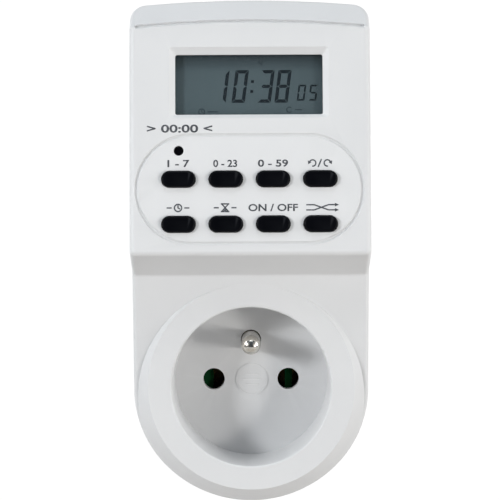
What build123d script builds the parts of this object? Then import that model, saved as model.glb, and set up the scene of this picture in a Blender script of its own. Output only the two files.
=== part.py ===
"""Plug-in digital timer switch: a two-shell housing with a round pinned socket in
front, a plug with two round pins behind, a slanted control head with a liquid
crystal display and eight keys, and the electrics that join them.

Frame: origin at the centre of the plug's mating face, midway between its pins.
+Y runs into the wall outlet, -Y comes forward to the user, +Z is up, +X is to the
right seen from the front. Depths called h are measured forward: y = -h.
"""

import os
from math import asin, atan2, cos, degrees, radians, sin, sqrt, tan

from build123d import *

os.makedirs("parts", exist_ok=True)

# ---------------------------------------------------------------- dimensions (mm)
# plug and socket
pin_pitch = 19.0          # between the two round pins
pin_r = 2.4
pin_length = 19.0
pin_neck_r = 2.1         # where each pin passes through its wall
earth_z = 10.0            # earth pin above the line of the other two
earth_pin_length = 14.0
plug_r = 18.6             # round plug body behind the housing
plug_depth = 17.0
recess_r_floor = 19.45
recess_r_mouth = 19.62
recess_depth = 15.0

# housing
half_w = 29.2             # half width at the parting plane
top_z = 94.7
crown_r = 300.0           # large radius of the crowned top edge
corner_r = 4.2
foot_r = 30.2             # foot of the outline: large radius at the bottom,
foot_side_r = 27.0        # smaller radius where it runs into the sides
foot_z = 1.05             # centre of the large radius
wall = 2.0
draft_front = 1.0
draft_rear = 2.0
h_rear = 17.0             # rear wall
h_part = 34.0             # parting plane of the two shells
h_rim = 46.0              # socket ring face
h_step = 56.0             # edge of the overhanging control head
z_step = 33.1
h_crease = 50.0           # front face at the crease under the top slope
z_crease = 88.9
z_step_foot = 27.6
lower_lean = 0.109        # the lower panel leans back going down
ring_r = 25.4
cone_rate = 0.9           # how fast the cone round the ring widens, per mm of depth

# face of the control head
lean = atan2(h_step - h_crease, z_crease - z_step)
face_plane = Plane(
    origin=(0, -h_step, z_step), x_dir=(1, 0, 0), z_dir=(0, -cos(lean), sin(lean))
)
face_cx = -0.2            # display and keys sit a little left of the middle
key_s = (18.0, 7.24)      # rows of keys, measured up the face from its lower edge
key_pitch = 11.27
key_w, key_t = 8.1, 3.9
key_rise = 1.0
key_travel = 0.8
reset_x, reset_s, reset_r = -17.05, 24.84, 1.2
window_w, window_h = 35.4, 14.5
window_s = 40.87
oval_half, oval_r, oval_s = 27.0, 12.95, 15.57

# boards
ctl_d = 7.0               # front of the control board below the face
ctl_t = 1.2
pwr_h = 23.0              # rear of the power board
pwr_t = 1.6
pwr_front = pwr_h + pwr_t

# shutter
shutter_travel = 3.8

# screws that hold the two shells together: (x, z)
screw_xy = [(-22.5, 88.3), (22.5, 88.3), (-21.0, -13.56), (21.0, -13.56)]
ctl_boss = [(-24.0, 29.5), (24.0, 29.5), (-24.0, 50.6), (24.0, 50.6)]
pwr_post = [(-22.5, 34.5), (22.5, 34.5), (-22.5, 81.0), (22.5, 81.0)]


def front(h):
    """Sketch plane at depth h, seen from the front: local x is X, local y is Z."""
    return Plane.XZ.offset(h)


def back(h):
    """Sketch plane at depth h whose normal runs to the rear; local y is Z."""
    return Plane(origin=(0, -h, 0), x_dir=(-1, 0, 0), z_dir=(0, 1, 0))


def face(d):
    """Sketch plane parallel to the head's face, d below it (negative is proud)."""
    return face_plane.offset(-d)


def housing_outline(plane, inset):
    """Straight sides, a slightly flattened half-round foot and a crowned top."""
    half = half_w - inset
    r = crown_r - inset
    zc = top_z - crown_r
    z_side = zc + sqrt(r * r - half * half)
    # foot: three tangent arcs, the outer two centred inboard of the sides
    cx = half_w - foot_side_r
    gap = foot_r - foot_side_r
    sin_a = cx / gap
    cos_a = sqrt(1 - sin_a**2)
    cz = foot_z - gap * cos_a
    big, small = foot_r - inset, foot_side_r - inset
    join = (big * sin_a, foot_z - big * cos_a)
    mid = atan2(cos_a, sin_a) / 2
    on_side = (cx + small * cos(mid), cz - small * sin(mid))
    with BuildSketch(plane) as sk:
        with BuildLine():
            Line((-half, cz), (-half, z_side))
            ThreePointArc((-half, z_side), (0, top_z - inset), (half, z_side))
            Line((half, z_side), (half, cz))
            ThreePointArc((half, cz), on_side, join)
            ThreePointArc(join, (0, foot_z - big), (-join[0], join[1]))
            ThreePointArc((-join[0], join[1]), (-on_side[0], on_side[1]), (-half, cz))
        make_face()
        fillet(vertices().sort_by(Axis.Y)[-2:], radius=max(corner_r - 0.8 * inset, 0.8))
    return sk.sketch


def prism(plane_at, h0, h1, inset, draft):
    """Housing outline lofted from depth h0 to h1, closing in by the draft angle."""
    with BuildPart() as body:
        add(housing_outline(plane_at(h0), inset))
        add(housing_outline(plane_at(h1), inset + abs(h1 - h0) * tan(radians(draft))))
        loft(ruled=True)
    return body.part


def finish(part, label):
    part.label = label
    export_step(part, f"parts/{label}.step")


# ============================================================ front housing
crown_axis = Axis((0, 0, top_z - crown_r), (0, 1, 0))
slope = (94.6 - z_crease) / (h_crease - 44.0)     # rise of the top slope per mm back


def head_profile(inset):
    """Everything behind the housing's front surfaces, inset from them."""
    k_up = (h_step - h_crease) / (z_crease - z_step)
    with BuildPart() as env:
        with BuildSketch(Plane.YZ):
            with BuildLine():
                Polyline(
                    (-26, -50),
                    (-26, 112),
                    (-(h_step - k_up * (112 - z_step)), 112),
                    (-h_step, z_step),
                    (-(h_rim + lower_lean * (z_step_foot - ring_r)), z_step_foot),
                    (-(h_rim - lower_lean * (ring_r + 50)), -50),
                    close=True,
                )
            make_face()
            if inset:
                offset(amount=-inset, kind=Kind.INTERSECTION)
        extrude(amount=45, both=True)
        # cone that rises from the lower panel to the flat ring round the socket
        r_top = ring_r - inset * (sqrt(1 + cone_rate**2) - cone_rate)
        h_top = h_rim - inset
        with BuildSketch(Plane.YZ):
            with BuildLine():
                Polyline(
                    (-h_top, 0),
                    (-h_top, r_top),
                    (-30, r_top + cone_rate * (h_top - 30)),
                    (-30, 0),
                    close=True,
                )
            make_face()
        revolve(axis=Axis.Y)
        # slope above the crease, turned about the same far axis as the crowned top
        n = sqrt(1 + slope**2)
        dy, dz = inset * slope / n, -inset / n
        a = (-h_crease + dy + 7.5, z_crease + dz + 7.5 * slope)
        b = (-h_crease + dy - 12.0, z_crease + dz - 12.0 * slope)
        with BuildSketch(Plane.YZ):
            with BuildLine():
                Polyline(a, b, (b[0], 125), (a[0], 125), close=True)
            make_face()
        revolve(axis=crown_axis, mode=Mode.SUBTRACT)
    return env.part



def rim_edges(part, z_low, z_high):
    """Outer corner edges between the front surfaces and the side walls."""
    picked = []
    for e in part.edges():
        c = e @ 0.5
        h = -c.Y
        ends_z = max((e @ 0.0).Z, (e @ 1.0).Z)
        if h < 40.8 or (h < 41.2 and c.Z > 80) or not z_low < ends_z < z_high:
            continue
        if e.geom_type == GeomType.CIRCLE and e.length > 150:
            continue
        if abs(c.X) < 1.0 and (abs(c.Z - z_step_foot) < 0.3 or 32 < c.Z < 35):
            continue
        if abs(abs(c.X) - 14.49) < 1.0 and abs(c.Z - 88.4) < 1.0:
            continue
        if abs(abs(c.X) - 23.92) < 1.0 and abs(c.Z - 11.9) < 1.0:
            continue
        picked.append(e)
    return picked


with BuildPart() as front_outer:
    add(prism(front, h_part, h_part + 26, 0, draft_front))
    add(head_profile(0), mode=Mode.INTERSECT)
    # soft edges: the overhanging lip, then the head's sides, then the lower panel's
    lip = [e for e in edges() if abs((e @ 0.5).X) < 1 and abs((e @ 0.5).Z - z_step) < 0.2]
    fillet(lip, radius=1.3)
    fillet(rim_edges(front_outer.part, 36, 200), radius=1.4)
    fillet(rim_edges(front_outer.part, -60, 33.6), radius=1.0)

with BuildPart() as front_cavity:
    add(prism(front, h_part - 1.0, h_part + 26, wall, draft_front))
    add(head_profile(wall), mode=Mode.INTERSECT)
    # socket cup, screw bosses, board bosses and the rib round the window stay solid
    with BuildSketch(front(29.0)):
        Circle(21.5)
    extrude(amount=30, mode=Mode.SUBTRACT)
    with BuildSketch(front(h_part)):
        with Locations(*screw_xy):
            Circle(3.0)
    extrude(amount=30, mode=Mode.SUBTRACT)
    with BuildSketch(face(ctl_d)):
        with Locations(*ctl_boss):
            Circle(1.9)
    extrude(amount=8, mode=Mode.SUBTRACT)
    with BuildSketch(face(2.7)):
        with Locations((face_cx, window_s)):
            RectangleRounded(41.4, 20.6, 1.2)
            RectangleRounded(38.0, 17.2, 0.8, mode=Mode.SUBTRACT)
    extrude(amount=3, mode=Mode.SUBTRACT)

key_xs = [face_cx + (i - 1.5) * key_pitch for i in range(4)]
key_spots = [(x, s) for s in key_s for x in key_xs]
pin_spots = [(-pin_pitch / 2, 0), (pin_pitch / 2, 0)]

# round-bottomed groove that frames the keys
with BuildPart() as oval_groove:
    flat = oval_half - oval_r
    foot, head = oval_s - oval_r, oval_s + oval_r
    with BuildLine(face(-0.05)) as oval_path:
        Line((face_cx - flat, foot), (face_cx + flat, foot))
        ThreePointArc((face_cx + flat, foot), (face_cx + oval_half, oval_s), (face_cx + flat, head))
        Line((face_cx + flat, head), (face_cx - flat, head))
        ThreePointArc((face_cx - flat, head), (face_cx - oval_half, oval_s), (face_cx - flat, foot))
    with BuildSketch(Plane(origin=oval_path.line @ 0.0, z_dir=oval_path.line % 0.0)):
        Circle(0.45)
    sweep()

with BuildPart() as front_housing:
    add(front_outer.part)
    add(front_cavity.part, mode=Mode.SUBTRACT)
    # rebate for the rear shell's lip
    add(prism(front, h_part - 1.0, h_part + 1.4, 1.0, 0), mode=Mode.SUBTRACT)
    # pocket behind the rebate is cut, so the bosses are put back flush with the seam
    with BuildSketch(front(h_part)):
        with Locations(*screw_xy):
            Circle(3.0)
    extrude(amount=3.0)
    with BuildSketch(front(29.0)):
        Circle(21.5)
    extrude(amount=8.0)
    # socket recess, a little wider at its mouth
    with BuildSketch(Plane.YZ):
        with BuildLine():
            Polyline(
                (-(h_rim - recess_depth), 0),
                (-(h_rim - recess_depth), recess_r_floor),
                (-h_rim, recess_r_mouth),
                (-(h_rim + 4), recess_r_mouth),
                (-(h_rim + 4), 0),
                close=True,
            )
        make_face()
    revolve(axis=Axis.Y, mode=Mode.SUBTRACT)
    mouth = [
        e
        for e in edges()
        if e.geom_type == GeomType.CIRCLE
        and abs(-(e @ 0.5).Y - h_rim) < 0.05
        and abs(sqrt((e @ 0.5).X ** 2 + (e @ 0.5).Z ** 2) - recess_r_mouth) < 0.05
    ]
    fillet(mouth, radius=0.45)
    # raised ring and bar on the recess floor, plain
    with BuildSketch(front(h_rim - recess_depth - 0.1)):
        with Locations((0.2, -0.1)):
            Circle(4.1)
            Circle(3.75, mode=Mode.SUBTRACT)
            Rectangle(4.6, 0.35)
            with Locations((0, 1.3), (0, -1.3)):
                Rectangle(3.2, 0.35)
    extrude(amount=0.28)
    # holes for the mating plug's pins and for the earth pin's root
    with BuildSketch(front(28.0)):
        with Locations(*pin_spots):
            Circle(2.75)
        with Locations((0, earth_z)):
            Circle(2.6)
    extrude(amount=4.0, mode=Mode.SUBTRACT)
    # step along the crease: a ramp into the face under a small lip that looks down,
    # ending short of the rounded corners
    crease_r = z_crease - top_z + crown_r
    swing = asin(27.5 / crease_r)
    with BuildSketch(
        Plane(origin=(0, 0, top_z - crown_r), x_dir=(0, 1, 0), z_dir=(cos(swing), 0, sin(swing)))
    ):
        with BuildLine():
            Polyline(
                (-h_crease + 1.0, crease_r + 0.08),
                (-h_crease - 0.3, crease_r + 0.88),
                (-h_crease - 1.0, crease_r + 0.88),
                (-h_crease - 1.0, crease_r - 0.95),
                close=True,
            )
        make_face()
    revolve(axis=crown_axis, revolution_arc=2 * degrees(swing), mode=Mode.SUBTRACT)
    # pilot holes for the screws
    with BuildSketch(front(h_part - 2)):
        with Locations(*screw_xy):
            Circle(1.35)
    extrude(amount=9.0, mode=Mode.SUBTRACT)
    with BuildSketch(face(ctl_d + 1)):
        with Locations(*ctl_boss):
            Circle(0.95)
    extrude(amount=5.4, mode=Mode.SUBTRACT)
    # display window: bevelled surround, short wall, pocket for the clear plate
    with BuildSketch(face(1.0)):
        with Locations((face_cx, window_s)):
            RectangleRounded(window_w, window_h, 0.5)
    with BuildSketch(face(-0.02)):
        with Locations((face_cx, window_s + 0.4)):
            RectangleRounded(window_w + 2.9, window_h + 2.7, 0.7)
    loft(ruled=True, mode=Mode.SUBTRACT)
    with BuildSketch(face(1.5)):
        with Locations((face_cx, window_s)):
            RectangleRounded(window_w, window_h, 0.5)
    extrude(amount=0.7, mode=Mode.SUBTRACT)
    with BuildSketch(face(3.2)):
        with Locations((face_cx, window_s)):
            RectangleRounded(37.8, 17.0, 0.7)
    extrude(amount=1.8, mode=Mode.SUBTRACT)
    # key holes and the reset hole
    with BuildSketch(face(3.0)):
        with Locations(*key_spots):
            SlotOverall(key_w + 0.24, key_t + 0.24)
        with Locations((reset_x, reset_s)):
            Circle(reset_r)
    extrude(amount=4.0, mode=Mode.SUBTRACT)
    # shallow groove round the keys
    add(oval_groove.part, mode=Mode.SUBTRACT)
    # studs that carry the shutter's cover
    with BuildSketch(front(24.2)):
        with Locations((-7.0, -8.6), (7.0, -8.6), (-7.5, 8.6), (7.5, 8.6)):
            Circle(1.0)
    extrude(amount=5.0)
finish(front_housing.part, "front_housing")


# ============================================================ rear housing
notch_half = 4.3
notch_floor = 16.2
with BuildPart() as rear_cavity:
    add(prism(back, h_part + 1.0, h_rear + wall, wall - 0.03, draft_rear))
    with BuildSketch(front(wall)):
        Circle(plug_r - wall)
        # wall behind the grooves for the earthing clips
        with Locations((0, 16.6), (0, -16.6)):
            Rectangle(2 * notch_half + 3.4, 5.0, mode=Mode.SUBTRACT)
    extrude(amount=h_rear + 0.5)
    with BuildSketch(front(h_rear + wall)):
        with Locations(*screw_xy):
            Circle(3.3)
    extrude(amount=30, mode=Mode.SUBTRACT)
    with BuildSketch(front(h_rear + wall)):
        with Locations(*pwr_post):
            Circle(2.3)
    extrude(amount=pwr_h - h_rear - wall, mode=Mode.SUBTRACT)

with BuildPart() as lip_ring:
    add(prism(front, h_part - 1.0, h_part + 1.1, 1.12, 0))
    add(prism(front, h_part - 2.0, h_part + 2.0, 1.8, 0), mode=Mode.SUBTRACT)

with BuildPart() as rear_housing:
    add(prism(back, h_part, h_rear, 0, draft_rear))
    heel = edges().filter_by_position(Axis.Y, -h_rear - 0.01, -h_rear + 0.01)
    fillet(heel, radius=2.6)
    # round plug body
    with BuildSketch(Plane.YZ):
        with BuildLine():
            Polyline(
                (-h_rear - 1.0, 0),
                (-h_rear - 1.0, plug_r + 0.2),
                (-h_rear, plug_r + 0.2),
                (0, plug_r - 0.15),
                (0, 0),
                close=True,
            )
        make_face()
    revolve(axis=Axis.Y)
    nose = [
        e
        for e in edges()
        if e.geom_type == GeomType.CIRCLE and abs((e @ 0.5).Y) < 0.01
    ]
    fillet(nose, radius=1.0)
    root = [
        e
        for e in edges()
        if e.geom_type == GeomType.CIRCLE
        and abs(-(e @ 0.5).Y - h_rear) < 0.01
        and abs(sqrt((e @ 0.5).X ** 2 + (e @ 0.5).Z ** 2) - plug_r - 0.2) < 0.05
    ]
    fillet(root, radius=0.8)
    add(rear_cavity.part, mode=Mode.SUBTRACT)
    # lip that locates in the front shell
    add(lip_ring.part)
    with BuildSketch(front(h_part)):
        with Locations(*screw_xy):
            Circle(3.25)
    extrude(amount=2.0, mode=Mode.SUBTRACT)
    # grooves for the earthing clips, with a slot at the foot of each
    with BuildSketch(front(-1.0)):
        with Locations((0, notch_floor + 3), (0, -notch_floor - 3)):
            Rectangle(2 * notch_half, 6)
    extrude(amount=16.4, mode=Mode.SUBTRACT)
    with BuildSketch(front(15.4)):
        with Locations((0, 16.4), (0, -16.4)):
            Rectangle(2 * notch_half - 0.6, 5.4)
    extrude(amount=2.4, mode=Mode.SUBTRACT)
    # pins, earth hole
    with BuildSketch(front(-1.0)):
        with Locations(*pin_spots):
            Circle(pin_r + 0.04)
        with Locations((0, earth_z)):
            Circle(2.75)
    extrude(amount=4.0, mode=Mode.SUBTRACT)
    # screw wells and their seats
    with BuildSketch(front(h_rear - 1.0)):
        with Locations(*screw_xy):
            Circle(2.65)
    extrude(amount=12.0, mode=Mode.SUBTRACT)
    with BuildSketch(front(h_rear)):
        with Locations(*screw_xy):
            Circle(1.6)
    extrude(amount=20.0, mode=Mode.SUBTRACT)
    with BuildSketch(front(h_rear + wall - 1)):
        with Locations(*pwr_post):
            Circle(0.95)
    extrude(amount=10.0, mode=Mode.SUBTRACT)
finish(rear_housing.part, "rear_housing")


# ============================================================ display
with BuildPart() as lcd_window:
    with BuildSketch(face(2.6)):
        with Locations((face_cx, window_s)):
            RectangleRounded(37.6, 16.8, 0.6)
    extrude(amount=1.08)
finish(lcd_window.part, "lcd_window")

with BuildPart() as lcd_panel:
    with BuildSketch(face(4.9)):
        with Locations((face_cx, window_s)):
            Rectangle(38.6, 17.0)
    extrude(amount=1.0)
    with BuildSketch(face(3.9)):
        with Locations((face_cx, window_s + 0.6)):
            Rectangle(38.6, 15.8)
    extrude(amount=1.0)
finish(lcd_panel.part, "lcd_panel")

with BuildPart() as lcd_holder:
    with BuildSketch(face(ctl_d - 0.02)):
        with Locations((face_cx, window_s)):
            RectangleRounded(43.2, 21.6, 0.8)
            Rectangle(34.0, 13.4, mode=Mode.SUBTRACT)
    extrude(amount=ctl_d - 0.02 - 2.75)
    with BuildSketch(face(4.95)):
        with Locations((face_cx, window_s)):
            Rectangle(38.8, 17.2)
    extrude(amount=3.0, mode=Mode.SUBTRACT)
    # slot for the conducting strip under the panel's lower ledge
    with BuildSketch(face(ctl_d)):
        with Locations((face_cx, window_s - 7.55)):
            Rectangle(35.2, 1.7)
    extrude(amount=3.0, mode=Mode.SUBTRACT)
    # pegs that pass through the board
    with BuildSketch(face(ctl_d + ctl_t + 0.3)):
        with Locations((face_cx - 20.5, window_s - 9.7), (face_cx + 20.5, window_s - 9.7)):
            Circle(0.7)
    extrude(amount=ctl_t + 1.5)
finish(lcd_holder.part, "lcd_holder")

with BuildPart() as lcd_backing:
    with BuildSketch(face(5.25)):
        with Locations((face_cx, window_s + 0.4)):
            Rectangle(33.6, 12.4)
    extrude(amount=0.3)
finish(lcd_backing.part, "lcd_backing")

with BuildPart() as conducting_strip:
    with BuildSketch(face(ctl_d - 0.02)):
        with Locations((face_cx, window_s - 7.55)):
            Rectangle(34.8, 1.4)
    extrude(amount=2.04)
finish(conducting_strip.part, "conducting_strip")

# ============================================================ control board
cell_x, cell_s = 12.5, 43.0
ribbon_s = 38.0
with BuildPart() as control_board:
    with BuildSketch(face(ctl_d + ctl_t)):
        with Locations((0, 27.3)):
            RectangleRounded(52.0, 50.0, 1.0)
        with Locations(*ctl_boss):
            Circle(1.1, mode=Mode.SUBTRACT)
        with Locations((face_cx - 20.5, window_s - 9.7), (face_cx + 20.5, window_s - 9.7)):
            Circle(0.75, mode=Mode.SUBTRACT)
        with Locations((-12.0, ribbon_s)):
            with GridLocations(1.27, 2.54, 8, 1):
                Circle(0.4, mode=Mode.SUBTRACT)
    extrude(amount=ctl_t)
finish(control_board.part, "control_board")

with BuildPart() as controller_blob:
    with BuildSketch(face(ctl_d + ctl_t + 0.02)):
        with Locations((3.0, 16.0)):
            Circle(5.2)
    extrude(amount=-1.3)
    fillet(faces().sort_by(Axis.Y)[-1].edges(), radius=1.1)
finish(controller_blob.part, "controller_blob")

crystal_plane = Plane(
    origin=face(ctl_d + ctl_t + 1.15).from_local_coords((-14, 11, 0)),
    x_dir=(1, 0, 0),
    z_dir=face_plane.y_dir,
)
with BuildPart() as crystal_can:
    with BuildSketch(crystal_plane):
        Circle(1.05)
    extrude(amount=6.0)
    fillet(edges().filter_by(GeomType.CIRCLE), radius=0.3)
    with BuildSketch(crystal_plane.offset(-2.0)):
        with Locations((-0.5, 0), (0.5, 0)):
            Circle(0.16)
    extrude(amount=2.2)
finish(crystal_can.part, "crystal_can")

with BuildPart() as backup_cell:
    with BuildSketch(face(ctl_d + ctl_t + 0.45)):
        with Locations((cell_x, cell_s)):
            Circle(5.8)
    extrude(amount=-5.2)
    fillet(edges().filter_by(GeomType.CIRCLE), radius=0.6)
finish(backup_cell.part, "backup_cell")

with BuildPart() as cell_tabs:
    with BuildSketch(face(ctl_d + ctl_t + 0.4)):
        with Locations((cell_x - 5.4, cell_s)):
            Rectangle(6.0, 3.0)
    extrude(amount=0.38)
    top_d = ctl_d + ctl_t + 0.45 + 5.2
    with BuildSketch(face(top_d + 0.35)):
        with Locations((cell_x + 1.9, cell_s)):
            Rectangle(10.0, 3.0)
    extrude(amount=0.3)
    with BuildSketch(face(top_d + 0.35)):
        with Locations((cell_x + 6.7, cell_s)):
            Rectangle(0.4, 3.0)
    extrude(amount=top_d + 0.35 - ctl_d - ctl_t - 0.02)
finish(cell_tabs.part, "cell_tabs")

with BuildPart() as control_board_screws:
    with BuildSketch(face(ctl_d + ctl_t + 1.32)):
        with Locations(*ctl_boss):
            Circle(1.9)
    extrude(amount=1.3)
    fillet(edges().filter_by(GeomType.CIRCLE).group_by(Axis.Y)[-1], radius=0.5)
    with BuildSketch(face(ctl_d + ctl_t + 0.1)):
        with Locations(*ctl_boss):
            Circle(0.9)
    extrude(amount=5.6)
    with BuildSketch(face(ctl_d + ctl_t + 1.4)):
        with Locations(*ctl_boss):
            Rectangle(2.2, 0.45)
            Rectangle(0.45, 2.2)
    extrude(amount=0.7, mode=Mode.SUBTRACT)
finish(control_board_screws.part, "control_board_screws")

# ============================================================ keypad
LOW = (Align.CENTER, Align.CENTER, Align.MIN)
HIGH = (Align.CENTER, Align.CENTER, Align.MAX)
dome_spots = key_spots + [(reset_x, reset_s)]
with BuildPart(face(ctl_d)) as key_mat:
    with Locations((0, 15.2, 0.02)):
        Box(49.0, 24.4, 0.73, align=LOW)
    with Locations(*[(x, u, 0.7) for x, u in dome_spots]):
        Cone(2.5, 1.6, 2.25, align=LOW)
    with Locations(*[(x, u, 0.0) for x, u in dome_spots]):
        Cone(2.1, 1.2, 1.9, align=LOW, mode=Mode.SUBTRACT)
    with Locations(*[(x, u, 1.5) for x, u in dome_spots]):
        Cylinder(0.9, 0.6, align=LOW)
    fillet(edges().filter_by(lambda e: abs(e.length - 0.73) < 0.01), radius=1.5)
finish(key_mat.part, "key_mat")

key_names = [
    "key_day", "key_hour", "key_minute", "key_recall",
    "key_clock", "key_timer", "key_mode", "key_random",
]
for key_name, (kx, ks) in zip(key_names, key_spots):
    with BuildPart() as key_cap:
        with BuildSketch(face(2.1)):
            with Locations((kx, ks)):
                SlotOverall(key_w, key_t)
        extrude(amount=2.1 + key_rise)
        crown = edges().filter_by(lambda e: face(-key_rise).contains(e @ 0.5))
        fillet(crown, radius=0.55)
        with BuildSketch(face(2.9)):
            with Locations((kx, ks)):
                SlotOverall(key_w + 1.3, key_t + 1.3)
        extrude(amount=0.8)
        with BuildSketch(face(3.9)):
            with Locations((kx, ks)):
                SlotOverall(4.6, 2.4)
        extrude(amount=1.1)
    finish(key_cap.part, key_name)

with BuildPart(face(0)) as reset_key:
    with Locations((reset_x, reset_s, -0.7)):
        Cylinder(reset_r - 0.12, 1.5, align=HIGH)
    fillet(edges().group_by(Axis.Y)[0].filter_by(GeomType.CIRCLE), radius=0.3)
    with Locations((reset_x, reset_s, -2.1)):
        Cylinder(1.9, 0.8, align=HIGH)
    with Locations((reset_x, reset_s, -2.8)):
        Cylinder(1.0, 1.1, align=HIGH)
finish(reset_key.part, "reset_key")

# ============================================================ power board
relay_x, relay_z = -13.25, 48.5
film_x, film_z = 8.0, 45.5
cans = [(4.5, 60.5, 4.0, 11.5), (14.5, 60.5, 3.2, 11.0)]
busbar_tabs = [(8.6, 36.4), (4.8, 36.4), (-8.6, 36.4)]
leads = (
    [(film_x - 7.5, film_z), (film_x + 7.5, film_z)]
    + [(x + d, z) for x, z, _, _ in cans for d in (-1.25, 1.25)]
    + [(20.6, 43.0), (20.6, 48.0)]
    + [(x, z) for x in (-1.0, 3.5) for z in (67.6, 80.4)]
    + [(x, z) for z in (69.0, 72.2, 75.4, 78.6) for x in (9.0, 17.4)]
    + [(-12.0 + 1.27 * (i - 3.5), 70.4) for i in range(8)]
)
relay_pins = [(-19.2, 41.0), (-7.4, 41.0), (-19.2, 56.0), (-7.4, 56.0), (-13.25, 56.0)]
with BuildPart(front(pwr_h)) as power_board:
    with Locations((0, 57.9, 0)):
        Box(50.4, 53.0, pwr_t, align=LOW)
    chamfer(edges().filter_by(Axis.Y), length=1.0)
    with Locations(*[(x, z, 0) for x, z in leads]):
        Cylinder(0.45, pwr_t, align=LOW, mode=Mode.SUBTRACT)
    with Locations(*[(x, z, 0) for x, z in relay_pins]):
        Cylinder(0.7, pwr_t, align=LOW, mode=Mode.SUBTRACT)
    with Locations(*[(x, z, 0) for x, z in pwr_post]):
        Cylinder(1.1, pwr_t, align=LOW, mode=Mode.SUBTRACT)
    with Locations(*[(x, z, 0) for x, z in busbar_tabs]):
        Box(2.8, 1.1, pwr_t, align=LOW, mode=Mode.SUBTRACT)
    # isolation slot between mains and low voltage
    with Locations((-3.6, 50.5, 0)):
        Box(1.6, 20.0, pwr_t, align=LOW, mode=Mode.SUBTRACT)
finish(power_board.part, "power_board")

with BuildPart(front(pwr_front)) as power_board_screws:
    with Locations(*[(x, z, 0.02) for x, z in pwr_post]):
        Cylinder(1.9, 1.2, align=LOW)
    fillet(edges().group_by(Axis.Y)[0], radius=0.45)
    with Locations(*[(x, z, 0.1) for x, z in pwr_post]):
        Cylinder(0.9, 5.4, align=HIGH)
    with Locations(*[(x, z, 0.8) for x, z in pwr_post]):
        Box(2.2, 0.45, 1.0, align=LOW, mode=Mode.SUBTRACT)
        Box(0.45, 2.2, 1.0, align=LOW, mode=Mode.SUBTRACT)
finish(power_board_screws.part, "power_board_screws")

with BuildPart(front(pwr_front)) as dropper_capacitor:
    with Locations((film_x, film_z, 0.3)):
        Box(18.0, 8.5, 13.6, align=LOW)
    fillet(edges().filter_by(Axis.Y), radius=0.5)
    with Locations((film_x - 7.5, film_z, 0.4), (film_x + 7.5, film_z, 0.4)):
        Cylinder(0.4, 3.2, align=HIGH)
finish(dropper_capacitor.part, "dropper_capacitor")

with BuildPart(front(pwr_front)) as smoothing_capacitors:
    for x, z, r, tall in cans:
        with Locations((x, z, 0.05)):
            Cylinder(r, tall, align=LOW)
    fillet(edges().filter_by(GeomType.CIRCLE), radius=0.5)
    for x, z, r, tall in cans:
        # crimp bead and vent cross
        with Locations((x, z, 1.9)):
            Cylinder(r + 1, 0.5, align=LOW, mode=Mode.SUBTRACT)
            Cylinder(r - 0.3, 0.5, align=LOW)
        with Locations((x, z, tall - 0.2)):
            Box(1.5 * r, 0.25, 1, align=LOW, mode=Mode.SUBTRACT)
            Box(0.25, 1.5 * r, 1, align=LOW, mode=Mode.SUBTRACT)
        with Locations((x - 1.25, z, 0.1), (x + 1.25, z, 0.1)):
            Cylinder(0.3, 2.9, align=HIGH)
finish(smoothing_capacitors.part, "smoothing_capacitors")

with BuildPart() as varistor:
    with BuildSketch(Plane.YZ.offset(18.9)):
        with Locations((-(pwr_front + 6.2), 45.5)):
            Circle(5.0)
    extrude(amount=3.4)
    fillet(edges().filter_by(GeomType.CIRCLE), radius=1.2)
    with BuildSketch(front(pwr_front - 2.6)):
        with Locations((20.6, 43.0), (20.6, 48.0)):
            Circle(0.35)
    extrude(amount=5.2)
finish(varistor.part, "varistor")

with BuildPart() as power_resistors:
    for x in (-1.0, 3.5):
        with BuildSketch(front(pwr_front + 2.2)):
            with BuildLine():
                Polyline(
                    (x, 69.4), (x + 1.75, 69.4), (x + 1.75, 71.4), (x + 1.5, 72.0),
                    (x + 1.5, 76.0), (x + 1.75, 76.6), (x + 1.75, 78.6), (x, 78.6),
                    close=True,
                )
            make_face()
        revolve(axis=Axis((x, -(pwr_front + 2.2), 0), (0, 0, 1)))
        with BuildLine():
            Polyline(
                (x, -(pwr_front - 2.6), 67.6),
                (x, -(pwr_front + 2.2), 67.6),
                (x, -(pwr_front + 2.2), 80.4),
                (x, -(pwr_front - 2.6), 80.4),
            )
        with BuildSketch(front(pwr_front - 2.6)):
            with Locations((x, 67.6)):
                Circle(0.3)
        sweep(transition=Transition.RIGHT)
finish(power_resistors.part, "power_resistors")

with BuildPart() as rectifier_diodes:
    for z in (69.0, 72.2, 75.4, 78.6):
        with BuildSketch(Plane.YZ.offset(10.9)):
            with Locations((-(pwr_front + 1.6), z)):
                Circle(1.25)
        extrude(amount=4.6)
    fillet(edges().filter_by(GeomType.CIRCLE), radius=0.25)
    for z in (69.0, 72.2, 75.4, 78.6):
        with BuildLine():
            Polyline(
                (9.0, -(pwr_front - 2.6), z),
                (9.0, -(pwr_front + 1.6), z),
                (17.4, -(pwr_front + 1.6), z),
                (17.4, -(pwr_front - 2.6), z),
            )
        with BuildSketch(front(pwr_front - 2.6)):
            with Locations((9.0, z)):
                Circle(0.3)
        sweep(transition=Transition.RIGHT)
finish(rectifier_diodes.part, "rectifier_diodes")

# flat cable between the two boards, bent once at each end
ctl_rear_h = h_step - ribbon_s * sin(lean) - (ctl_d + ctl_t) * cos(lean)
ctl_rear_z = z_step + ribbon_s * cos(lean) - (ctl_d + ctl_t) * sin(lean)
with BuildPart() as ribbon_cable:
    with BuildSketch(Plane.YZ.offset(-12.0)):
        with BuildLine():
            FilletPolyline(
                (-(pwr_front + 0.4), 70.4),
                (-(pwr_front + 6.5), 70.4),
                (-(pwr_front + 9.5), 74.0),
                (-(ctl_rear_h - 0.6), ctl_rear_z + 0.35),
                radius=2.0,
            )
            offset(amount=0.4, side=Side.BOTH)
        make_face()
    extrude(amount=5.1, both=True)
finish(ribbon_cable.part, "ribbon_cable")

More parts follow.
